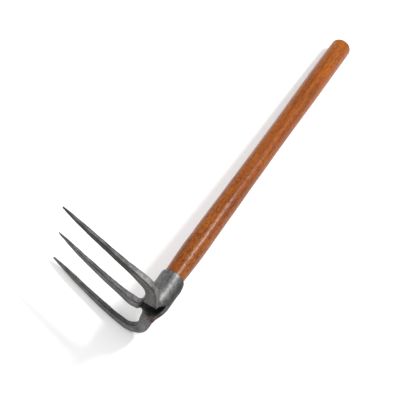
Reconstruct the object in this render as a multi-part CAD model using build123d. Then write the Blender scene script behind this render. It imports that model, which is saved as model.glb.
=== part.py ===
from build123d import *
import math
import os

# Hand cultivator: a forged three-tine head with a rolled socket, driven on to a
# turned and varnished wooden handle and kept there by one side nail.
#
# Working frame while modelling (mm): the socket's axis is X, with the socket's
# mouth at X = 0 and the grip at +X; the tines reach towards +Y and are spread
# along Z. REST_* below then lay the whole tool down on its side, the way it
# lies on a bench: on the lowest tine's shoulder and on the end of the grip.

# ---------------------------------------------------------------- handle
GRIP_LENGTH = 468.0        # socket mouth to the last full-width section
DOME_HEIGHT = 5.5          # rise of the rounded end over that section
DOME_EDGE_R = 7.0          # rounding where the side meets the dome
TENON_LENGTH = 28.0        # part of the handle inside the socket
GRIP_R = 13.7              # true cylinder at the free end
WOOD_Y = -0.55             # the handle's axis sits this far behind the socket's nominal axis
GRIP_CYL_START = 402.0     # where that cylinder begins
# (x, radius) along the turned profile, tenon to grip
HANDLE_PROFILE = [
    (10.0, 12.95), (18.0, 13.25), (31.0, 13.75), (45.0, 14.1), (58.0, 14.2),
    (88.0, 14.0), (126.0, 13.7), (178.0, 13.35), (246.0, 13.15), (290.0, 13.2),
    (340.0, 13.5), (385.0, 13.7),
]

# ---------------------------------------------------------------- socket
SOCKET_LENGTH = 57.3       # mouth to the flat underside of the palm
MOUTH_R = 15.25            # outside radius at the mouth
MOUTH_Y = -0.6             # centre of the outside circle there
NECK_R = 15.3              # outside radius at the palm
NECK_Y = -1.4              # centre there: the socket leans back a little
BORE_MOUTH_R = 12.68       # bore radius at the mouth
BORE_END_R = 12.0          # bore radius at the palm
# the rolled seam's outer sheet at the back: (angle from the back, rise)
LAP = [(-68.0, 0.5), (-60.0, 1.0), (-45.0, 1.2), (-20.0, 1.25), (-6.0, 1.2), (10.0, 0.95), (25.0, 0.5), (40.0, 0.1), (48.0, -0.15)]
LAP_LENGTH = 40.0
HANDLE_GAP = 0.08          # radial gap between tenon and bore

# ---------------------------------------------------------------- palm and tines
POCKET_HALF = 13.4         # half width of the open trough at the underside
POCKET_FRONT = 7.0         # front face of the trough beyond the axis
POCKET_BACK = 6.8          # its back face, short of the tube's back wall
# upper tine and its shoulder: (y, z, half width), tip to trough
UPPER_RIBBON = [
    (141.6, 49.9, 1.2), (131.0, 50.0, 2.25), (118.0, 50.2, 2.95), (104.0, 50.5, 3.3),
    (90.0, 50.8, 3.6), (74.0, 51.0, 3.95), (58.0, 51.0, 4.25), (43.0, 50.5, 4.5),
    (30.0, 49.1, 4.85), (19.0, 46.2, 5.4), (9.2, 41.4, 6.0), (3.6, 35.2, 6.6),
    (1.2, 27.0, 7.15), (0.2, 16.0, 7.9), (0.0, 0.0, 8.3),
]
# the lower one was bent a little further out
LOWER_RIBBON = [
    (141.6, 49.9, 1.2), (131.0, 50.0, 2.25), (118.0, 50.3, 2.95), (104.0, 50.7, 3.3),
    (90.0, 51.1, 3.6), (74.0, 51.4, 3.95), (58.0, 51.6, 4.25), (43.0, 51.6, 4.5),
    (30.0, 51.1, 4.85), (19.0, 49.8, 5.3), (10.0, 45.7, 6.0), (4.0, 39.4, 6.7),
    (0.9, 29.0, 7.2), (-0.1, 17.0, 7.9), (0.0, 0.0, 8.3),
]
MIDDLE_RIBBON = [
    (141.6, 0.0, 0.6), (133.0, 0.0, 1.6), (118.0, 0.0, 2.85), (104.0, 0.0, 3.25),
    (89.0, 0.0, 3.65), (73.0, 0.0, 4.1), (57.0, 0.0, 4.5), (41.0, 0.0, 4.85),
    (27.0, 0.0, 5.4), (18.0, 0.0, 6.6), (12.5, 0.0, 9.0), (9.0, 0.0, 13.5),
    (6.0, 0.0, 19.0),
]
# the fork seen from the side, tine by tine: (y, x of the underside, x of the top)
UPPER_SIDE = [
    (9.0, -57.3, -48.4), (18.0, -57.1, -48.4), (27.0, -56.2, -48.3), (34.0, -54.9, -47.9),
    (42.0, -53.3, -46.9), (57.8, -49.6, -43.6), (73.5, -45.5, -39.9), (89.5, -41.1, -36.0),
    (105.8, -36.3, -31.8), (122.4, -31.3, -27.7), (132.5, -28.0, -25.2), (142.2, -24.8, -23.1),
]
MIDDLE_SIDE = [
    (9.0, -57.3, -49.2), (18.0, -57.8, -49.6), (24.0, -57.6, -49.4), (30.0, -56.6, -48.9),
    (42.0, -53.5, -46.9), (57.8, -49.6, -43.6), (73.5, -45.5, -39.9), (89.5, -41.1, -36.0),
    (105.8, -36.3, -31.7), (122.4, -30.8, -27.1), (132.5, -27.1, -24.4), (143.0, -23.2, -21.8),
]
LOWER_SIDE = [
    (9.0, -57.3, -50.0), (18.0, -57.1, -50.8), (27.0, -56.2, -50.0), (42.0, -53.3, -47.1),
    (57.8, -49.6, -43.6), (73.5, -45.5, -39.9), (89.5, -41.1, -36.0),
    (105.8, -36.3, -31.8), (122.4, -31.3, -27.7), (132.5, -28.0, -25.2), (142.2, -24.8, -23.1),
]

# ---------------------------------------------------------------- nail
NAIL_X = -13.0             # station of the nail along the socket
NAIL_R = 1.4
NAIL_LENGTH = 15.0
NAIL_HEAD_R = 3.1
NAIL_HEAD_T = 1.2
NAIL_GAP = 0.06

# ---------------------------------------------------------------- rest pose
REST_PITCH = 4.719         # about Y: brings the end of the grip down to the bench
REST_SHIFT = (-206.314, -62.054, 52.11)


def seg_face(pts_a, pts_b, plane):
    """Closed face between two smooth edges that share their order of stations."""
    a = Spline(*[plane.from_local_coords(Vector(u, v, 0)) for u, v in pts_a])
    b = Spline(*[plane.from_local_coords(Vector(u, v, 0)) for u, v in pts_b])
    c = Line(a @ 0, b @ 0)
    d = Line(a @ 1, b @ 1)
    return make_face([a, d, b, c])


def ribbon(stations, plane):
    """Strip of varying width along a centre line of (u, v, half width)."""
    left, right = [], []
    n = len(stations)
    for i, (u, v, h) in enumerate(stations):
        u0, v0, _ = stations[max(i - 1, 0)]
        u1, v1, _ = stations[min(i + 1, n - 1)]
        du, dv = u1 - u0, v1 - v0
        ln = math.hypot(du, dv)
        nu, nv = -dv / ln, du / ln
        left.append((u + nu * h, v + nv * h))
        right.append((u - nu * h, v - nv * h))
    return seg_face(left, right, plane)


def revolve_x(points):
    """Solid of revolution about the handle's axis from (x, r) corner points."""
    wire = Polyline(*[(x, r, 0) for x, r in points], close=True)
    return Pos(0, WOOD_Y, 0) * revolve(make_face(wire), Axis.X, 360)


def side_band(rows, z0, z1):
    """The fork's side profile, extruded over one tine's share of the width."""
    y_back = -12.0
    low = [(x, y, 0) for y, x, _ in rows]
    top = [(x, y, 0) for y, _, x in rows]

    def end(p):
        return (p[-1][0] - p[-2][0], p[-1][1] - p[-2][1], 0)

    e_low = Spline(*low, tangents=[(0, 1, 0), end(low)])
    e_top = Spline(*top, tangents=[(0, 1, 0), end(top)])
    face = make_face([
        e_low,
        Line(e_low @ 1, e_top @ 1),
        e_top,
        Line(e_top @ 0, (top[0][0], y_back, 0)),
        Line((top[0][0], y_back, 0), (low[0][0], y_back, 0)),
        Line((low[0][0], y_back, 0), e_low @ 0),
    ])
    return Pos(0, 0, z0) * extrude(face, amount=z1 - z0, dir=(0, 0, 1))


# ================================================================ head
plan = Plane(origin=(-82.0, 0, 0), x_dir=(0, 1, 0), z_dir=(1, 0, 0))
up_tine = extrude(ribbon(UPPER_RIBBON, plan), amount=80, dir=(1, 0, 0))
low_tine = mirror(extrude(ribbon(LOWER_RIBBON, plan), amount=80, dir=(1, 0, 0)), about=Plane.XY)
mid_tine = extrude(ribbon(MIDDLE_RIBBON, plan), amount=80, dir=(1, 0, 0))

up_tine = up_tine & side_band(UPPER_SIDE, 0.0, 70.0)
low_tine = low_tine & side_band(LOWER_SIDE, -70.0, 0.0)
mid_tine = mid_tine & side_band(MIDDLE_SIDE, -30.0, 30.0)
fork = up_tine + low_tine
fork = fork + mid_tine

# leaning tube, and the webs that spread from it into the shoulders
mouth_ring = Plane(origin=(0, MOUTH_Y, 0), x_dir=(0, 1, 0), z_dir=(1, 0, 0)) * Circle(MOUTH_R)
neck_ring = Plane(origin=(-SOCKET_LENGTH, NECK_Y, 0), x_dir=(0, 1, 0), z_dir=(1, 0, 0)) * Circle(NECK_R)
tube = loft([neck_ring, mouth_ring], ruled=True)


def flank(sign):
    """Concave web between the tube's side and one shoulder."""
    face = make_face([
        Line((-53.5, 0, sign * 8.0), (-53.5, 0, sign * 21.5)),
        ThreePointArc((-53.5, 0, sign * 21.5), (-47.4, 0, sign * 17.4), (-39.0, 0, sign * 14.8)),
        Line((-39.0, 0, sign * 14.8), (-39.0, 0, sign * 8.0)),
        Line((-39.0, 0, sign * 8.0), (-53.5, 0, sign * 8.0)),
    ])
    return extrude(face, amount=7.7, dir=(0, 1, 0), both=True)


skirt_a = flank(1)
skirt_b = flank(-1)
front_face = make_face([
    Line((-53.0, 4.0, 0), (-53.0, 25.0, 0)),
    ThreePointArc((-53.0, 25.0, 0), (-47.0, 17.6, 0), (-40.0, 13.2, 0)),
    Line((-40.0, 13.2, 0), (-40.0, 4.0, 0)),
    Line((-40.0, 4.0, 0), (-53.0, 4.0, 0)),
])
neck_front = extrude(front_face, amount=4.8, dir=(0, 0, 1), both=True)

# outer sheet of the rolled seam along the back
def at_back(deg, r):
    a = math.radians(deg)
    return (-1.5, MOUTH_Y - r * math.cos(a), r * math.sin(a))


lap_out = Spline(*[at_back(d, MOUTH_R + h) for d, h in LAP])
lap_in = ThreePointArc(at_back(LAP[-1][0], MOUTH_R - 1.2), at_back(-10.0, MOUTH_R - 1.2), at_back(LAP[0][0], MOUTH_R - 1.2))
lap_face = make_face([lap_out, Line(lap_out @ 1, lap_in @ 0), lap_in, Line(lap_in @ 1, lap_out @ 0)])
lean = (NECK_Y - MOUTH_Y) / SOCKET_LENGTH
lap = extrude(lap_face, amount=LAP_LENGTH, dir=(-1, lean, 0))

head = fork + tube
head = head + skirt_a
head = head + skirt_b
head = head + neck_front
head = head + lap

# bore, open trough under it, and the arch that opens the back
bore = revolve_x([(1, 0), (1, BORE_MOUTH_R + (BORE_MOUTH_R - BORE_END_R) / SOCKET_LENGTH),
                  (-SOCKET_LENGTH - 4, BORE_END_R - 4 * (BORE_MOUTH_R - BORE_END_R) / SOCKET_LENGTH),
                  (-SOCKET_LENGTH - 4, 0)])
pocket_face = make_face(Polyline(
    (-42.0, 0, -11.4), (-50.0, 0, -12.2), (-SOCKET_LENGTH, 0, -POCKET_HALF), (-SOCKET_LENGTH - 5, 0, -POCKET_HALF - 1.0),
    (-SOCKET_LENGTH - 5, 0, POCKET_HALF + 1.0), (-SOCKET_LENGTH, 0, POCKET_HALF), (-50.0, 0, 12.2), (-42.0, 0, 11.4),
    close=True))
pocket = extrude(pocket_face, amount=POCKET_FRONT, dir=(0, 1, 0)) + extrude(pocket_face, amount=POCKET_BACK, dir=(0, -1, 0))
ARCH = [(-37.6, 1.4), (-38.4, 2.9), (-40.5, 5.3), (-44.7, 8.3), (-47.6, 10.1), (-51.4, 12.1), (-57.3, 13.6), (-62.3, 14.9)]
arch_face = make_face(Polyline(*([(x, 0, -z) for x, z in ARCH] + [(x, 0, z) for x, z in reversed(ARCH)]), close=True))
arch = Pos(0, -4.0, 0) * extrude(arch_face, amount=32, dir=(0, -1, 0))

head = head - bore
head = head - pocket
head = head - arch

# ================================================================ handle
gap = HANDLE_GAP
slope = (BORE_MOUTH_R - BORE_END_R) / SOCKET_LENGTH
r_mouth = BORE_MOUTH_R - gap
r_tenon = BORE_MOUTH_R - slope * TENON_LENGTH - gap
turned = Spline(*([(0.0, r_mouth, 0)] + [(x, r, 0) for x, r in HANDLE_PROFILE] + [(GRIP_CYL_START, GRIP_R, 0)]),
                tangents=[(1, slope, 0), (1, 0, 0)])
cyl = Line(turned @ 1, (GRIP_LENGTH - 1.0, GRIP_R, 0))
a0 = math.radians(62)
edge_c = (GRIP_LENGTH - 1.0, GRIP_R - DOME_EDGE_R)
edge_end = (edge_c[0] + DOME_EDGE_R * math.sin(a0), edge_c[1] + DOME_EDGE_R * math.cos(a0))
edge_mid = (edge_c[0] + DOME_EDGE_R * math.sin(a0 / 2), edge_c[1] + DOME_EDGE_R * math.cos(a0 / 2))
edge = ThreePointArc(cyl @ 1, (edge_mid[0], edge_mid[1], 0), (edge_end[0], edge_end[1], 0))
dome_r = edge_end[1] / math.cos(a0)
dome_cx = edge_end[0] - dome_r * math.sin(a0)
dome_top = (dome_cx + dome_r, 0.0)
am = (a0 + math.pi / 2) / 2
dome = ThreePointArc(edge @ 1, (dome_cx + dome_r * math.sin(am), dome_r * math.cos(am), 0), (dome_top[0], 0, 0))
handle_face = make_face([
    Line((-TENON_LENGTH, 0, 0), (-TENON_LENGTH, r_tenon - 1.0, 0)),
    Line((-TENON_LENGTH, r_tenon - 1.0, 0), (-TENON_LENGTH + 1.0, r_tenon + slope, 0)),
    Line((-TENON_LENGTH + 1.0, r_tenon + slope, 0), (0, r_mouth, 0)),
    turned, cyl, edge, dome,
    Line((dome_top[0], 0, 0), (-TENON_LENGTH, 0, 0)),
])
handle = Pos(0, WOOD_Y, 0) * revolve(handle_face, Axis.X, 360)

# ================================================================ nail
# driven up through the underside of the socket into the tenon
sock_r_at_nail = MOUTH_R + (MOUTH_R - NECK_R) / SOCKET_LENGTH * NAIL_X
nail_seat_z = -sock_r_at_nail - 0.08
hole_r = NAIL_R + NAIL_GAP
tip_z = nail_seat_z + NAIL_LENGTH
nail_hole = Pos(NAIL_X, WOOD_Y, (nail_seat_z - 3 + tip_z + 0.3) / 2) * Cylinder(hole_r, tip_z + 0.3 - nail_seat_z + 3)
shank = Pos(NAIL_X, WOOD_Y, nail_seat_z + (NAIL_LENGTH - 3.0) / 2) * Cylinder(NAIL_R, NAIL_LENGTH - 3.0)
point = Pos(NAIL_X, WOOD_Y, tip_z - 1.5) * Cone(NAIL_R, 0.25, 3.0)
nail_head = Pos(NAIL_X, WOOD_Y, nail_seat_z - NAIL_HEAD_T / 2) * Cylinder(NAIL_HEAD_R, NAIL_HEAD_T)
nail_head = fillet(nail_head.edges().filter_by(GeomType.CIRCLE).group_by(Axis.Z)[0], 0.5)
nail = shank + point + nail_head

head = head - nail_hole
handle = handle - nail_hole

# ================================================================ lay down and write
rest = Pos(*REST_SHIFT) * Rot(0, REST_PITCH, 0)


def one_solid(shape, name):
    sols = shape.solids()
    if len(sols) != 1:
        print("note:", name, "has", len(sols), "solids", [round(s.volume, 1) for s in sols])
    return max(sols, key=lambda s: s.volume)


os.makedirs("parts", exist_ok=True)
lows, highs = [], []
for name, shape in (("forged_head", head), ("wooden_handle", handle), ("retaining_nail", nail)):
    s = rest * one_solid(shape, name)
    s.label = name
    export_step(s, f"parts/{name}.step")
    bb = s.bounding_box()
    lows.append((bb.min.X, bb.min.Y, bb.min.Z))
    highs.append((bb.max.X, bb.max.Y, bb.max.Z))
    print(name, "volume", round(s.volume, 1), "valid", s.is_valid,
          "box", [round(v, 2) for v in (bb.min.X, bb.min.Y, bb.min.Z, bb.max.X, bb.max.Y, bb.max.Z)])
lo = [min(v[k] for v in lows) for k in range(3)]
hi = [max(v[k] for v in highs) for k in range(3)]
print("whole box", [round(v, 3) for v in lo], [round(v, 3) for v in hi],
      "centre", [round((a + b) / 2, 3) for a, b in zip(lo, hi)])
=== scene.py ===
import math
import bpy
import numpy as np
from mathutils import Matrix, Vector


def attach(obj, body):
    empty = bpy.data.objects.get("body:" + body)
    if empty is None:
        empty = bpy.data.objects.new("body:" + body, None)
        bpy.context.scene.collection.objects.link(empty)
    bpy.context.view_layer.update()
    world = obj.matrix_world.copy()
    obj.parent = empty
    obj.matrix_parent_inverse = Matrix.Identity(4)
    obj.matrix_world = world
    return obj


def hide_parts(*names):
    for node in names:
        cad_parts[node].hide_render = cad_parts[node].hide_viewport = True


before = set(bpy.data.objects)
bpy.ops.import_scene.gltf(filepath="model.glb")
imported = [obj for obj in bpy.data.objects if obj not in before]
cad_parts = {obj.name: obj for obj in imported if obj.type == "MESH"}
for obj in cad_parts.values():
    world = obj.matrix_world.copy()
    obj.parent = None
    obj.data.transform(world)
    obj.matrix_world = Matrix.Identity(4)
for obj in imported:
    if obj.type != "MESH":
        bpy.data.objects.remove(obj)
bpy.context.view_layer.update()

# ----------------------------------------------------------------- shared frame
# Tool frame (mm): x along the socket's axis, mouth at 0, grip at +x; y towards
# the tines' tips; z across the row of tines. PITCH and SHIFT lay it on its side.
PITCH = math.radians(4.719)
SHIFT = (-206.314, -62.054, 52.11)
CP, SP = math.cos(PITCH), math.sin(PITCH)


def to_row(P):
    P = np.asarray(P, float)
    x, y, z = P[..., 0], P[..., 1], P[..., 2]
    return np.stack([x * CP + z * SP + SHIFT[0], y + SHIFT[1], -x * SP + z * CP + SHIFT[2]], -1) / 1000.0


def row_dir(v):
    x, y, z = v
    return Vector((x * CP + z * SP, y, -x * SP + z * CP))


# ----------------------------------------------------------------- small maths
def smin(a, b, k):
    h = np.clip(0.5 + 0.5 * (b - a) / k, 0.0, 1.0)
    return b * (1 - h) + a * h - k * h * (1 - h)


def smax(a, b, k):
    return -smin(-a, -b, k)


def sstep(a, b, x):
    t = np.clip((x - a) / (b - a), 0.0, 1.0)
    return t * t * (3 - 2 * t)


class Noise:
    """Smooth value noise on a seeded lattice, about -1..1."""

    def __init__(self, seed, n=32):
        self.n = n
        self.v = np.random.default_rng(seed).uniform(-1, 1, (n, n, n))

    def __call__(self, x, y, z, size):
        x, y, z = np.broadcast_arrays(x / size, y / size, z / size)
        i, j, k = np.floor(x).astype(int), np.floor(y).astype(int), np.floor(z).astype(int)
        fx, fy, fz = x - i, y - j, z - k
        fx, fy, fz = [t * t * t * (t * (6 * t - 15) + 10) for t in (fx, fy, fz)]
        n, v, r = self.n, self.v, 0.0
        for a in (0, 1):
            wa = fx if a else 1 - fx
            for b in (0, 1):
                wb = fy if b else 1 - fy
                for c in (0, 1):
                    wc = fz if c else 1 - fz
                    r = r + v[(i + a) % n, (j + b) % n, (k + c) % n] * wa * wb * wc
        return r


def refine(st, m=4):
    """Catmull-Rom refinement of a station list."""
    st = np.asarray(st, float)
    P = np.vstack([2 * st[0] - st[1], st, 2 * st[-1] - st[-2]])
    out = []
    for i in range(1, len(P) - 2):
        for s in range(m):
            t = s / m
            p0, p1, p2, p3 = P[i - 1], P[i], P[i + 1], P[i + 2]
            out.append(0.5 * (2 * p1 + (p2 - p0) * t + (2 * p0 - 5 * p1 + 4 * p2 - p3) * t * t
                              + (3 * p1 - p0 - 3 * p2 + p3) * t ** 3))
    out.append(st[-1])
    return np.array(out)


# ----------------------------------------------------------------- head: its shape as one distance field
# tine and shoulder in plan: (y, |z|, half width); the lower one was bent a little further out
UPPER = [(141.4, 49.9, 1.35), (136.0, 49.9, 1.9), (128.0, 50.05, 2.5), (118.0, 50.2, 2.95), (104.0, 50.5, 3.35),
         (90.0, 50.8, 3.6), (74.0, 51.0, 3.95), (58.0, 51.0, 4.25), (43.0, 50.5, 4.5), (30.0, 49.1, 4.85),
         (19.0, 46.2, 5.4), (9.2, 41.4, 6.0), (3.6, 35.2, 6.6), (1.2, 27.0, 7.15), (0.2, 16.0, 7.9), (0.0, 6.0, 8.1)]
LOWER = [(141.4, 49.9, 1.2), (136.0, 49.9, 1.85), (128.0, 50.1, 2.5), (118.0, 50.3, 2.95), (104.0, 50.7, 3.35),
         (90.0, 51.1, 3.6), (74.0, 51.4, 3.95), (58.0, 51.6, 4.25), (43.0, 51.6, 4.5), (30.0, 51.1, 4.85),
         (19.0, 49.8, 5.35), (10.0, 45.7, 6.1), (4.0, 39.4, 6.8), (0.9, 29.0, 7.2), (-0.1, 17.0, 7.9), (0.0, 6.0, 8.1)]
MIDDLE = [(141.4, 0.0, 0.5), (137.0, 0.0, 1.15), (128.0, 0.0, 2.2), (117.0, 0.0, 2.85), (104.0, 0.0, 3.3),
          (89.0, 0.0, 3.7), (73.0, 0.0, 4.15), (57.0, 0.0, 4.5), (41.0, 0.0, 4.8), (28.0, 0.0, 5.5),
          (22.0, 0.0, 5.8), (16.0, 0.0, 5.2), (11.0, 0.0, 4.7), (6.0, 0.0, 5.5)]
# seen from the side: (y, x of the underside, x of the top)
SIDE_U = [(-14.0, -57.3, -48.4), (9.0, -57.3, -48.4), (18.0, -57.1, -48.4), (27.0, -56.2, -48.3), (34.0, -54.9, -47.9),
          (42.0, -53.3, -46.9), (57.8, -49.6, -43.6), (73.5, -45.5, -39.9), (89.5, -41.1, -36.0), (105.8, -36.3, -31.8),
          (118.0, -32.7, -28.8), (128.0, -29.4, -26.1), (136.0, -26.8, -24.1), (142.6, -24.8, -22.6)]
SIDE_M = [(-14.0, -57.3, -49.2), (9.0, -57.3, -49.2), (18.0, -57.8, -49.6), (24.0, -57.6, -49.4), (30.0, -56.6, -48.9),
          (42.0, -53.5, -46.9), (57.8, -49.6, -43.6), (73.5, -45.5, -39.9), (89.5, -41.1, -36.0), (105.8, -36.3, -31.7),
          (118.0, -32.3, -28.4), (128.0, -28.8, -25.6), (136.0, -25.9, -23.5), (143.2, -23.4, -21.9)]
SIDE_L = [(-14.0, -57.3, -50.0), (9.0, -57.3, -50.0), (18.0, -57.1, -50.8), (27.0, -56.2, -50.0), (42.0, -53.3, -47.1),
          (57.8, -49.6, -43.6), (73.5, -45.5, -39.9), (89.5, -41.1, -36.0), (105.8, -36.3, -31.8),
          (118.0, -32.7, -28.8), (128.0, -29.4, -26.1), (136.0, -26.8, -24.2), (142.6, -24.8, -22.9)]


def side_rows(rows):
    """Fine table of (y, x of the middle, thickness, slope)."""
    r = refine(rows)
    r = r[np.argsort(r[:, 0])]
    xc = (r[:, 1] + r[:, 2]) / 2
    sl = np.gradient(xc, r[:, 0])
    return r[:, 0], xc, (r[:, 2] - r[:, 1]) / np.sqrt(1 + sl * sl), sl


SIDES = [side_rows(r) for r in (SIDE_U, SIDE_M, SIDE_L)]
UPPER_R, LOWER_R, MIDDLE_R = refine(UPPER), refine(LOWER), refine(MIDDLE)


def ribbon(y, z, st):
    D = None
    for (ya, za, wa), (yb, zb, wb) in zip(st[:-1], st[1:]):
        dy, dz = yb - ya, zb - za
        t = np.clip(((y - ya) * dy + (z - za) * dz) / (dy * dy + dz * dz), 0, 1)
        d = np.hypot(y - ya - t * dy, z - za - t * dz) - (wa + (wb - wa) * t)
        D = d if D is None else np.minimum(D, d)
    return D


def head_field(x, y, z):
    # fork: three tines and two shoulders out of one plate
    az = np.abs(z)
    outer = np.where(z > 0, ribbon(y, az, UPPER_R), ribbon(y, az, LOWER_R))
    mid = ribbon(y, az, MIDDLE_R)
    plan = smin(outer, mid, 3.0)
    wu, wl = sstep(8.0, 24.0, z), sstep(8.0, 24.0, -z)
    wm = 1 - wu - wl
    xc, th, sl = [sum(w * np.interp(y, s[0], s[k]) for w, s in zip((wu, wm, wl), SIDES)) for k in (1, 2, 3)]
    flat = np.abs(x - xc) / np.sqrt(1 + sl * sl) - th / 2
    plate = smax(plan, flat, 1.0)
    # the socket: a tube that leans back, its outer sheet lapped at the back
    yo = -0.6 + 0.8 / 57.3 * x
    ro = 15.25 - 0.05 / 57.3 * x
    phi = np.arctan2(z, yo - y)
    lap = sstep(-1.25, -1.05, phi) * (1 - sstep(-0.10, 0.80, phi)) * np.interp(x, [-58.0, -44.0, -34.0, -20.0, -10.0, -4.0, -1.0, 0.0], [0.5, 1.0, 1.25, 1.2, 1.7, 1.15, 0.4, 0.1])
    tube = smax(smax(np.hypot(y - yo, z) - ro - lap, x - 0.0, 0.9), -57.3 - x, 1.0)
    body = smin(tube, plate, 4.2)
    body = smax(body, -57.9 - x, 0.6)
    # bore, the open trough under it, a slot beside the middle tine and the arch at the back
    ri = np.interp(x, [-60.0, -28.0, 0.0], [13.0, 12.35, 12.68])
    bore = smax(np.hypot(y + 0.55, z) - ri, -x - 62.0, 0.5)
    side_p, side_m = sstep(5.0, 9.0, z), sstep(5.0, 9.0, -z)
    hw = 11.4 + 2.0 * np.clip((-45.0 - x) / 12.3, 0, 2) ** 1.7 + 1.6 * side_m * np.clip((-50.0 - x) / 7.0, 0, 1.5) ** 2
    yf = 7.6 - 2.2 * side_m + (1 - side_p - side_m) * np.clip(-51.5 - x, 0.0, 8.0) * 0.85
    trough = smax(smax(smax(az - hw, y - yf, 1.6), x + 42.0, 2.0), -6.5 - y, 1.0)
    slit = smax(smax(np.abs(z - 10.6) - 2.6, np.abs(y - 8.0) - 5.0, 1.0), x + 50.5, 2.0)
    slit_m = smax(smax(np.abs(z + 9.9) - 2.5, np.abs(y - 8.4) - 2.2, 1.0), x + 51.6, 1.2)
    slit = smin(slit, slit_m, 0.5)
    ta = np.interp(x, [-62.3, -57.3, -53.9, -51.4, -47.6, -44.7, -40.5, -38.4, -37.6], [14.9, 13.6, 13.1, 12.1, 10.1, 8.3, 5.3, 2.9, 1.0])
    arch = smax(smax((az - ta) * 0.85, y + 3.5, 1.0), x + 37.0, 0.8)
    cut = smin(smin(bore, trough, 1.2), arch, 1.0)
    cut = smin(cut, slit, 1.0)
    nail = np.hypot(x + 13.0, y + 0.55) - 1.5
    nail = smax(nail, z + 0.0, 0.3)
    cut = smin(cut, nail, 0.1)
    soft = 0.8 + 3.4 * sstep(6.0, 10.0, -z) * sstep(-50.0, -55.0, x) * sstep(-8.0, -3.0, y)
    soft = soft + 3.0 * sstep(8.5, 6.0, az) * sstep(-49.0, -54.0, x) * sstep(6.0, 9.0, y)
    return smax(body, -cut, soft)


N1, N2, N3 = Noise(11), Noise(23), Noise(37)


def head_full(x, y, z):
    d = head_field(x, y, z)
    d = d + 0.16 * N1(x + 200, y + 200, z + 200, 11.0)          # uneven forging
    d = d + 0.07 * N2(x + 200, y + 200, z + 200, 4.3)           # hammer marks
    d = d + 0.022 * N3(x + 200, y + 200, z + 200, 1.5)          # scale
    return d


def surface_nets(F, org, h):
    """Quads around the zero level of F on a grid of step h."""
    nx, ny, nz = F.shape
    S = F < 0
    c = [S[a:nx - 1 + a, b:ny - 1 + b, d:nz - 1 + d] for a in (0, 1) for b in (0, 1) for d in (0, 1)]
    cnt = sum(q.astype(np.int8) for q in c)
    act = (cnt > 0) & (cnt < 8)
    idx = np.full(act.shape, -1, np.int64)
    I, J, K = np.nonzero(act)
    idx[I, J, K] = np.arange(len(I))
    corner = np.array([(a, b, d) for a in (0, 1) for b in (0, 1) for d in (0, 1)])
    vals = np.stack([F[I + a, J + b, K + d] for a, b, d in corner], 1)
    pos = np.zeros((len(I), 3))
    num = np.zeros(len(I))
    for p in range(8):
        for q in range(p + 1, 8):
            if np.abs(corner[p] - corner[q]).sum() != 1:
                continue
            a, b = vals[:, p], vals[:, q]
            m = (a < 0) != (b < 0)
            t = np.where(m, a / np.where(m, a - b, 1.0), 0)
            pos += np.where(m[:, None], corner[p] + (corner[q] - corner[p]) * t[:, None], 0)
            num += m
    V = (np.stack([I, J, K], 1) + pos / num[:, None]) * h + org
    quads = []
    for ax in range(3):
        s0 = [slice(None)] * 3
        s1 = [slice(None)] * 3
        s0[ax], s1[ax] = slice(0, -1), slice(1, None)
        A, B = S[tuple(s0)], S[tuple(s1)]
        E = np.nonzero(A != B)
        inside_first = A[E]
        e = np.stack(E, 1)
        u, v = [(1, 2), (2, 0), (0, 1)][ax]
        cells = []
        for du, dv in ((-1, -1), (0, -1), (0, 0), (-1, 0)):
            cc = e.copy()
            cc[:, u] += du
            cc[:, v] += dv
            cells.append(idx[cc[:, 0], cc[:, 1], cc[:, 2]])
        q = np.stack(cells, 1)
        q[~inside_first] = q[~inside_first][:, ::-1]
        quads.append(q)
    Q = np.vstack(quads)
    return V, Q[(Q >= 0).all(1)]


def project(V, f, n=3, eps=0.05, cap=0.5):
    for _ in range(n):
        x, y, z = V.T
        d = f(x, y, z)
        g = np.stack([f(x + eps, y, z) - d, f(x, y + eps, z) - d, f(x, y, z + eps) - d], 1) / eps
        g2 = (g * g).sum(1)
        step = (d / np.maximum(g2, 0.15))[:, None] * g
        ln = np.linalg.norm(step, axis=1)
        step *= np.minimum(1, cap / np.maximum(ln, 1e-9))[:, None]
        V = V - step
    return V


def relax(V, Q, w=0.5, n=1):
    """Moves each vertex towards the mean of its neighbours."""
    e = np.vstack([Q[:, [0, 1]], Q[:, [1, 2]], Q[:, [2, 3]], Q[:, [3, 0]]])
    e = np.vstack([e, e[:, ::-1]])
    deg = np.bincount(e[:, 0], minlength=len(V))
    for _ in range(n):
        s = np.stack([np.bincount(e[:, 0], V[e[:, 1], k], minlength=len(V)) for k in range(3)], 1)
        V = V + w * (s / deg[:, None] - V)
    return V


def new_mesh(name, V, faces, mat, smooth=True):
    me = bpy.data.meshes.new(name)
    me.from_pydata([tuple(p) for p in V], [], [tuple(int(i) for i in q) for q in faces])
    me.update()
    ob = bpy.data.objects.new(name, me)
    bpy.context.scene.collection.objects.link(ob)
    me.materials.append(mat)
    if smooth:
        me.polygons.foreach_set("use_smooth", [True] * len(me.polygons))
    return ob


# ----------------------------------------------------------------- materials
def node(nt, kind, **kw):
    n = nt.nodes.new(kind)
    for k, v in kw.items():
        setattr(n, k, v)
    return n


def mat_base(name):
    m = bpy.data.materials.new(name)
    m.use_nodes = True
    nt = m.node_tree
    bs = next(n for n in nt.nodes if n.type == "BSDF_PRINCIPLED")
    return m, nt, bs


def ramp(nt, fac, stops):
    r = node(nt, "ShaderNodeValToRGB")
    el = r.color_ramp.elements
    while len(el) < len(stops):
        el.new(0.5)
    for e, (p, c) in zip(el, stops):
        e.position = p
        e.color = (*c, 1.0) if len(c) == 3 else c
    nt.links.new(fac, r.inputs["Fac"])
    return r.outputs["Color"]


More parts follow.
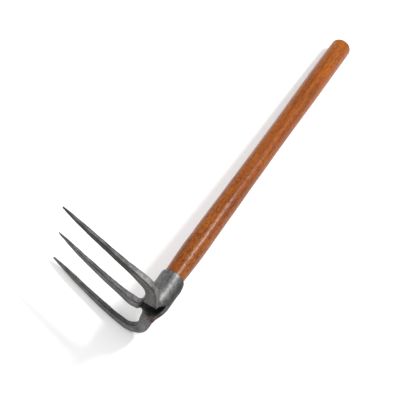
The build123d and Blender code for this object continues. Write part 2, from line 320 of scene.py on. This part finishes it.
def noise(nt, vec, scale, detail=3.0, rough=0.55, dist=0.0):
    n = node(nt, "ShaderNodeTexNoise")
    n.inputs["Scale"].default_value = scale
    n.inputs["Detail"].default_value = detail
    n.inputs["Roughness"].default_value = rough
    n.inputs["Distortion"].default_value = dist
    nt.links.new(vec, n.inputs["Vector"])
    return n.outputs["Fac"]


def tool_coords(nt, scale=(1, 1, 1)):
    """Object coordinates turned so that x runs along the handle."""
    tc = node(nt, "ShaderNodeTexCoord")
    mp = node(nt, "ShaderNodeMapping")
    mp.vector_type = "POINT"
    mp.inputs["Rotation"].default_value = (0, -PITCH, 0)
    nt.links.new(tc.outputs["Object"], mp.inputs["Vector"])
    m2 = node(nt, "ShaderNodeMapping")
    m2.inputs["Scale"].default_value = scale
    nt.links.new(mp.outputs["Vector"], m2.inputs["Vector"])
    return m2.outputs["Vector"]


def mix(nt, a, b, fac, mode="MIX"):
    m = node(nt, "ShaderNodeMix", data_type="RGBA", blend_type=mode)
    for sock, v in (("A", a), ("B", b)):
        s = next(i for i in m.inputs if i.name == sock and i.type == "RGBA")
        if isinstance(v, tuple):
            s.default_value = (*v, 1.0)
        else:
            nt.links.new(v, s)
    f = next(i for i in m.inputs if i.name == "Factor" and i.type == "VALUE")
    if isinstance(fac, float):
        f.default_value = fac
    else:
        nt.links.new(fac, f)
    return next(o for o in m.outputs if o.type == "RGBA")


def math_node(nt, op, a, b=None, clamp=False):
    m = node(nt, "ShaderNodeMath", operation=op, use_clamp=clamp)
    for i, v in enumerate((a, b)):
        if v is None:
            continue
        if isinstance(v, (int, float)):
            m.inputs[i].default_value = v
        else:
            nt.links.new(v, m.inputs[i])
    return m.outputs[0]


def bump(nt, height, strength, dist, normal=None):
    b = node(nt, "ShaderNodeBump")
    b.inputs["Strength"].default_value = strength
    b.inputs["Distance"].default_value = dist
    nt.links.new(height, b.inputs["Height"])
    if normal is not None:
        nt.links.new(normal, b.inputs["Normal"])
    return b.outputs["Normal"]


def spot(nt, vec, at_mm, radius_mm, rough):
    """1 inside a ragged blob around a point of the tool frame, 0 outside."""
    d = node(nt, "ShaderNodeVectorMath", operation="DISTANCE")
    nt.links.new(vec, d.inputs[0])
    # the coordinates here are the row's, turned but not shifted
    x, y, z = at_mm
    d.inputs[1].default_value = ((x + SHIFT[0] * CP - SHIFT[2] * SP) / 1000, (y + SHIFT[1]) / 1000, (z + SHIFT[0] * SP + SHIFT[2] * CP) / 1000)
    v = math_node(nt, "ADD", math_node(nt, "MULTIPLY", d.outputs["Value"], 1000.0 / radius_mm), math_node(nt, "MULTIPLY", rough, -1.6))
    mr = node(nt, "ShaderNodeMapRange")
    for k, val in (("From Min", 0.30), ("From Max", 0.02), ("To Min", 0.0), ("To Max", 1.0)):
        mr.inputs[k].default_value = val
    nt.links.new(v, mr.inputs["Value"])
    return mr.outputs["Result"]


def steel_material(name, base=0.15, head=True):
    m, nt, bs = mat_base(name)
    vec = tool_coords(nt)
    big = noise(nt, vec, 75.0, 5.0, 0.65)
    fine = noise(nt, vec, 520.0, 5.0, 0.7)
    grit = noise(nt, vec, 1500.0, 3.0, 0.6)
    b = base
    col = ramp(nt, big, [(0.30, (b * 0.55, b * 0.57, b * 0.60)), (0.50, (b, b * 1.02, b * 1.05)), (0.70, (b * 1.60, b * 1.60, b * 1.56))])
    col2 = ramp(nt, fine, [(0.30, (0.42, 0.43, 0.47)), (0.52, (1.0, 1.0, 1.0)), (0.74, (1.65, 1.62, 1.55))])
    col = mix(nt, col, col2, 0.85, "MULTIPLY")
    # drawn-out marks along the tines
    dr = ramp(nt, noise(nt, tool_coords(nt, (0.5, 0.12, 1.0)), 420.0, 4.0, 0.65, 0.4), [(0.34, (0.62, 0.62, 0.63)), (0.50, (1, 1, 1)), (0.68, (1.28, 1.28, 1.27))])
    col = mix(nt, col, dr, 0.8, "MULTIPLY")
    # brown bloom in patches
    patch = noise(nt, vec, 95.0, 5.0, 0.65, 0.6)
    pm = ramp(nt, patch, [(0.52, (0, 0, 0)), (0.70, (1, 1, 1))])
    col = mix(nt, col, (b * 0.78, b * 0.62, b * 0.52), math_node(nt, "MULTIPLY", pm, 0.75))
    if head:
        at = node(nt, "ShaderNodeAttribute", attribute_name="turn")
        # dark brown line where two faces meet, broken up
        ed = node(nt, "ShaderNodeMapRange")
        for k, val in (("From Min", 0.34), ("From Max", 0.72), ("To Min", 0.0), ("To Max", 1.0)):
            ed.inputs[k].default_value = val
        nt.links.new(at.outputs["Fac"], ed.inputs["Value"])
        br = ramp(nt, noise(nt, vec, 120.0, 3.0, 0.6), [(0.38, (0.25, 0.25, 0.25)), (0.60, (1, 1, 1))])
        em = math_node(nt, "MULTIPLY", ed.outputs["Result"], br)
        col = mix(nt, col, (0.052, 0.036, 0.028), math_node(nt, "MULTIPLY", em, 0.85))
        # painted shade in the inner corners, where the smooth shape turns inward
        inner_corner_shade = node(nt, "ShaderNodeMapRange")
        for k, val in (("From Min", -0.15), ("From Max", -0.7), ("To Min", 0.0), ("To Max", 0.6)):
            inner_corner_shade.inputs[k].default_value = val
        nt.links.new(at.outputs["Fac"], inner_corner_shade.inputs["Value"])
        col = mix(nt, col, (0.035, 0.034, 0.036), inner_corner_shade.outputs["Result"])
        # the tone attribute multiplies the colour: painted light and shade by which way each face turns, and a slightly
        # darker socket
        tn = node(nt, "ShaderNodeAttribute", attribute_name="tone_and_painted_light")
        vm = node(nt, "ShaderNodeVectorMath", operation="SCALE")
        nt.links.new(col, vm.inputs[0])
        nt.links.new(tn.outputs["Fac"], vm.inputs["Scale"])
        col = vm.outputs["Vector"]
        # painted shade on the socket's inner surfaces
        so = node(nt, "ShaderNodeAttribute", attribute_name="bore_painted_shade")
        col = mix(nt, col, (0.022, 0.022, 0.023), math_node(nt, "MULTIPLY", so.outputs["Fac"], 0.50))
        # rust spots
        rag = noise(nt, vec, 900.0, 3.0, 0.7)
        for pt, rad in SPOTS:
            col = mix(nt, col, (0.20, 0.065, 0.025), math_node(nt, "MULTIPLY", spot(nt, vec, pt, rad, rag), 0.65))
    sp = noise(nt, vec, 260.0, 2.0, 0.5)
    zone = noise(nt, vec, 30.0, 2.0, 0.5)
    spr = ramp(nt, sp, [(0.69, (0, 0, 0)), (0.75, (1, 1, 1))])
    zr = ramp(nt, zone, [(0.50, (0, 0, 0)), (0.60, (1, 1, 1))])
    sm = math_node(nt, "MULTIPLY", spr, zr)
    col = mix(nt, col, (0.15, 0.060, 0.030), sm)
    nt.links.new(col, bs.inputs["Base Color"])
    bs.inputs["Metallic"].default_value = 0.8
    rg = ramp(nt, fine, [(0.3, (0.38, 0.38, 0.38)), (0.7, (0.58, 0.58, 0.58))])
    nt.links.new(rg, bs.inputs["Roughness"])
    n1 = bump(nt, big, 0.55, 0.0007)
    n2 = bump(nt, fine, 0.5, 0.00022, n1)
    n3 = bump(nt, grit, 0.3, 0.00006, n2)
    nt.links.new(n3, bs.inputs["Normal"])
    return m


def wood_material(name):
    m, nt, bs = mat_base(name)
    vec = tool_coords(nt)
    grain = noise(nt, tool_coords(nt, (0.055, 1.0, 1.0)), 420.0, 5.0, 0.62, 0.3)
    broad = noise(nt, tool_coords(nt, (0.12, 1.0, 1.0)), 70.0, 4.0, 0.6, 0.4)
    mott = noise(nt, vec, 230.0, 5.0, 0.65)
    col = ramp(nt, broad, [(0.30, (0.150, 0.032, 0.0006)), (0.50, (0.208, 0.049, 0.0010)), (0.70, (0.262, 0.073, 0.0020))])
    g = ramp(nt, grain, [(0.30, (0.60, 0.50, 0.42)), (0.50, (1, 1, 1)), (0.72, (1.18, 1.20, 1.15))])
    col = mix(nt, col, g, 0.85, "MULTIPLY")
    mo = ramp(nt, mott, [(0.30, (0.66, 0.58, 0.52)), (0.52, (1, 1, 1)), (0.72, (1.16, 1.20, 1.25))])
    col = mix(nt, col, mo, 0.85, "MULTIPLY")
    # short dark pores, thicker towards the socket
    fl = noise(nt, tool_coords(nt, (0.26, 1.0, 1.0)), 620.0, 2.5, 0.55)
    fr = ramp(nt, fl, [(0.55, (0, 0, 0)), (0.62, (1, 1, 1))])
    sepx = node(nt, "ShaderNodeSeparateXYZ")
    nt.links.new(vec, sepx.inputs[0])
    dens = node(nt, "ShaderNodeMapRange")
    for k, val in (("From Min", -0.20), ("From Max", 0.10), ("To Min", 0.9), ("To Max", 0.40)):
        dens.inputs[k].default_value = val
    nt.links.new(sepx.outputs[0], dens.inputs["Value"])
    fm = math_node(nt, "MULTIPLY", fr, dens.outputs["Result"])
    col = mix(nt, col, (0.045, 0.011, 0.005), fm)
    nt.links.new(col, bs.inputs["Base Color"])
    bs.inputs["Roughness"].default_value = 0.5
    bs.inputs["Specular IOR Level"].default_value = 0.05
    bs.inputs["Coat Weight"].default_value = 0.62
    bs.inputs["Coat Roughness"].default_value = 0.24
    bs.inputs["Coat IOR"].default_value = 1.30
    wav = noise(nt, tool_coords(nt, (0.5, 1.0, 1.0)), 260.0, 4.0, 0.6)
    n1 = bump(nt, grain, 0.22, 0.00025)
    nt.links.new(n1, bs.inputs["Normal"])
    n2 = bump(nt, wav, 0.55, 0.0008)
    n3 = bump(nt, fl, 0.4, 0.00025, n2)
    nt.links.new(n3, bs.inputs["Coat Normal"])
    return m


def floor_material():
    m, nt, bs = mat_base("pale_floor")
    bs.inputs["Base Color"].default_value = (0.93, 0.93, 0.93, 1)
    bs.inputs["Roughness"].default_value = 0.9
    bs.inputs["Specular IOR Level"].default_value = 0.1
    return m


# rust spots on the head: (x, y, z) in the tool frame and radius, mm
SPOTS = [((-55.0, -5.0, -14.0), 1.7), ((-55.6, -7.6, -13.2), 1.7), ((-57.3, 2.5, -17.5), 1.2), ((-57.3, 7.0, 19.0), 1.3)]
steel = steel_material("forged_steel_scale", 0.125)
nail_mat = steel_material("nail_wire_steel", 0.20, False)
wood = wood_material("varnished_hardwood")

# ----------------------------------------------------------------- head mesh
H = 0.55
lo = np.array([-60.0, -20.5, -58.5])
hi = np.array([1.8, 145.2, 57.5])
n = np.ceil((hi - lo) / H).astype(int) + 1
gx, gy, gz = [(lo[k] + H * np.arange(n[k])) for k in range(3)]
F = head_field(gx[:, None, None], gy[None, :, None], gz[None, None, :])
V, Q = surface_nets(F, lo, H)
del F
V = relax(V, Q, 0.5, 2)
V = project(V, head_field, 3)
V = relax(V, Q, 0.4, 1)
V = project(V, head_full, 3)
head = new_mesh("forged_head_skin", to_row(V), Q, steel)
# how sharply the smooth shape turns outward at each vertex: 0 on faces, 1 on arrises
e = 1.1
x, y, z = V.T
lap0 = sum(head_field(x + a, y + b, z + c) for a, b, c in ((e, 0, 0), (-e, 0, 0), (0, e, 0), (0, -e, 0), (0, 0, e), (0, 0, -e))) - 6 * head_field(x, y, z)
turn = np.clip(lap0 / e / e / 0.55, -1.0, 1.0)
yo = -0.6 + 0.8 / 57.3 * x
rr = np.hypot(y - yo, z)
g0 = head_field(x, y, z)
gx, gz = head_field(x + 0.3, y, z) - g0, head_field(x, y, z + 0.3) - g0
gl = np.sqrt(gx ** 2 + gz ** 2 + (head_field(x, y + 0.3, z) - g0) ** 2) + 1e-6
nx, nz = gx / gl, gz / gl
# painted light and shade by which way a face turns: side faces lighter, undersides darker, the upper shoulder's side
# and underside near the root darker still; on the lowest tine the inner side is painted dark as shade and the underside
# lighter as painted light
low = sstep(-30.0, -40.0, z)
tone_and_painted_light = 1.0 + 0.12 * sstep(0.4, 0.8, nz) * (1 - low) - 0.16 * sstep(0.4, 0.8, -nx) * (1 - low) * sstep(15.0, 40.0, y)
tone_and_painted_light = tone_and_painted_light - 0.47 * low * sstep(0.4, 0.8, nz) * sstep(4.0, 14.0, y) * (1 - 0.7 * sstep(60.0, 100.0, y)) + 0.22 * low * sstep(0.4, 0.8, -nx) * sstep(5.0, 20.0, y)
tone_and_painted_light = tone_and_painted_light - 0.58 * sstep(0.4, 0.8, -nx) * sstep(12.0, 30.0, z) * sstep(14.0, 40.0, y) - 0.20 * sstep(0.4, 0.8, -nx) * sstep(12.0, 16.0, z) * sstep(16.0, 8.0, y)
tone_and_painted_light = tone_and_painted_light - 0.38 * sstep(0.45, 0.85, nz) * sstep(24.0, 10.0, y) * sstep(20.0, 34.0, z)
# the socket's outer skin a little darker overall, and its back half darker still as painted shade; the cut rim under
# the arch lightened as painted light
ph = np.arctan2(z, yo - y)
tube_m = sstep(-54.0, -47.0, x) * sstep(14.3, 15.0, rr) * sstep(20.0, 17.5, rr)
tone_and_painted_light = tone_and_painted_light - tube_m * (0.21 + 0.55 * sstep(1.02, 0.50, ph))
# painted light on the downward-facing cut rim under the arch
rim = sstep(0.35, 0.7, -nx) * sstep(-6.0, -8.0, y) * sstep(-56.0, -53.0, x)
tone_and_painted_light = tone_and_painted_light + 0.8 * rim
# painted shade on the socket's inner surfaces, fading out near the mouth and at the fork end, kept off the rim
bore_painted_shade = (1 - sstep(14.3, 15.0, rr)) * sstep(-56.0, -46.5, x) * sstep(-0.5, -4.0, x) * (1 - rim)
for nm, vals in (("turn", turn), ("bore_painted_shade", bore_painted_shade), ("tone_and_painted_light", tone_and_painted_light)):
    at = head.data.attributes.new(nm, "FLOAT", "POINT")
    at.data.foreach_set("value", vals.astype(np.float32))
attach(head, "root")
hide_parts("forged_head")

# ----------------------------------------------------------------- handle mesh
HP = [(0.0, 12.6), (10.0, 12.95), (18.0, 13.25), (31.0, 13.75), (45.0, 14.1), (58.0, 14.2), (88.0, 14.0),
      (126.0, 13.7), (178.0, 13.35), (246.0, 13.15), (290.0, 13.2), (340.0, 13.5), (385.0, 13.7), (402.0, 13.7), (467.0, 13.7)]
hp = refine(HP, 6)
xs = [(-28.0, 0.0), (-28.0, 3.5), (-28.0, 7.0), (-28.0, 9.9), (-27.7, 10.9), (-27.0, 11.6)]
for x in np.linspace(-25.0, -1.0, 16):
    xs.append((x, 12.6 + 0.3 / 28.0 * x))
for x in np.arange(0.0, 460.1, 1.25):
    xs.append((x, float(np.interp(x, hp[:, 0], hp[:, 1]))))
# rounded end
r0, re = 13.7, 7.0
for a in np.linspace(0, math.radians(62), 12):
    xs.append((467.0 + re * math.sin(a), r0 - re + re * math.cos(a)))
ce = (467.0 + re * math.sin(math.radians(62)), r0 - re + re * math.cos(math.radians(62)))
dr = ce[1] / math.cos(math.radians(62))
dcx = ce[0] - dr * math.sin(math.radians(62))
for a in np.linspace(math.radians(62), math.radians(90), 9)[1:]:
    xs.append((dcx + dr * math.sin(a), dr * math.cos(a)))
M = 112
th = np.arange(M) * 2 * math.pi / M
NH = Noise(5)
NH2 = Noise(6)
rings = []
for x, r in xs[1:-1]:
    rr = np.full(M, r)
    if x > 2:
        y0, z0 = 14 * np.cos(th), 14 * np.sin(th)
        rr = rr + min(1.0, (x - 2) / 15) * (0.10 * NH(x + 300, y0 + 60, z0 + 60, 26.0) + 0.035 * NH2(x + 300, y0 + 60, z0 + 60, 7.0)) - 0.10
        # a shallow flat where a knot was shaved, on the side away from the bench
        dn = np.hypot((x - 70.0) / 10.0, (th - math.radians(17)) * 14 / 5.0)
        rr = rr - 0.30 * np.exp(-dn * dn)
    rings.append(np.stack([np.full(M, x), rr * np.cos(th), rr * np.sin(th)], 1))
HV = [np.array([[xs[0][0], 0, 0]])] + rings + [np.array([[xs[-1][0], 0, 0]])]
HV = np.vstack(HV) + np.array([0.0, -0.55, 0.0])
HF = []
for j in range(M):
    HF.append((0, 1 + (j + 1) % M, 1 + j))
for i in range(len(rings) - 1):
    b0, b1 = 1 + i * M, 1 + (i + 1) * M
    for j in range(M):
        k = (j + 1) % M
        HF.append((b0 + j, b0 + k, b1 + k, b1 + j))
last = 1 + (len(rings) - 1) * M
end = len(HV) - 1
for j in range(M):
    HF.append((last + j, last + (j + 1) % M, end))
me = bpy.data.meshes.new("wooden_handle_skin")
me.from_pydata([tuple(p) for p in to_row(HV)], [], HF)
me.update()
handle = bpy.data.objects.new("wooden_handle_skin", me)
bpy.context.scene.collection.objects.link(handle)
me.materials.append(wood)
me.polygons.foreach_set("use_smooth", [True] * len(me.polygons))
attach(handle, "root")
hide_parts("wooden_handle")

# ----------------------------------------------------------------- nail keeps its CAD shape
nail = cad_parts["retaining_nail"]
for s in nail.material_slots:
    s.material = nail_mat
if not nail.material_slots:
    nail.data.materials.append(nail_mat)

# ----------------------------------------------------------------- floor, light, camera
fm = bpy.data.meshes.new("floor")
R = 6.0
fm.from_pydata([(-R, -R, 0), (R, -R, 0), (R, R, 0), (-R, R, 0)], [], [(0, 1, 2, 3)])
floor = bpy.data.objects.new("floor", fm)
fm.materials.append(floor_material())
bpy.context.scene.collection.objects.link(floor)
floor.location = (0, 0, -0.0002)

world = bpy.data.worlds.new("studio") if not bpy.context.scene.world else bpy.context.scene.world
bpy.context.scene.world = world
world.use_nodes = True
bg = next(nn for nn in world.node_tree.nodes if nn.type == "BACKGROUND")
bg.inputs["Color"].default_value = (1.0, 1.0, 1.0, 1)
bg.inputs["Strength"].default_value = 0.95


def area(name, target, direction, dist, size, power, size_y=None, color=(1, 1, 1)):
    d = bpy.data.lights.new(name, "AREA")
    d.energy = power
    d.color = color
    d.shape = "RECTANGLE"
    d.size = size
    d.size_y = size_y or size
    o = bpy.data.objects.new(name, d)
    t = Vector(to_row(target))
    v = row_dir(direction).normalized()
    o.location = t + v * dist
    o.rotation_euler = v.to_track_quat("Z", "Y").to_euler()
    bpy.context.scene.collection.objects.link(o)
    return o


area("key", (45, 0, 0), (0.566, -0.405, 0.717), 0.95, 0.20, 7.2, 0.09, (1.0, 0.97, 0.93))
area("fill", (150, 0, 0), (-0.2, 0.75, 0.8), 1.6, 1.4, 4.0)

cam_d = bpy.data.cameras.new("cam")
cam = bpy.data.objects.new("cam", cam_d)
bpy.context.scene.collection.objects.link(cam)
cam_d.sensor_width = 36.0
cam_d.sensor_fit = "HORIZONTAL"
cam_d.lens = 135.08
cam_d.clip_start = 0.05
cam_d.clip_end = 50.0
right = (0.488668, -0.860784, 0.142317)
up = (0.683028, 0.478929, 0.551452)
back = (-0.542841, -0.172271, 0.821977)
pos = (-1.07731, -0.34754, 1.54431)
mw = Matrix.Identity(4)
for k in range(3):
    mw[k][0], mw[k][1], mw[k][2], mw[k][3] = right[k], up[k], back[k], pos[k]
cam.matrix_world = mw
bpy.context.scene.camera = cam
bpy.context.scene.view_settings.view_transform = "Standard"
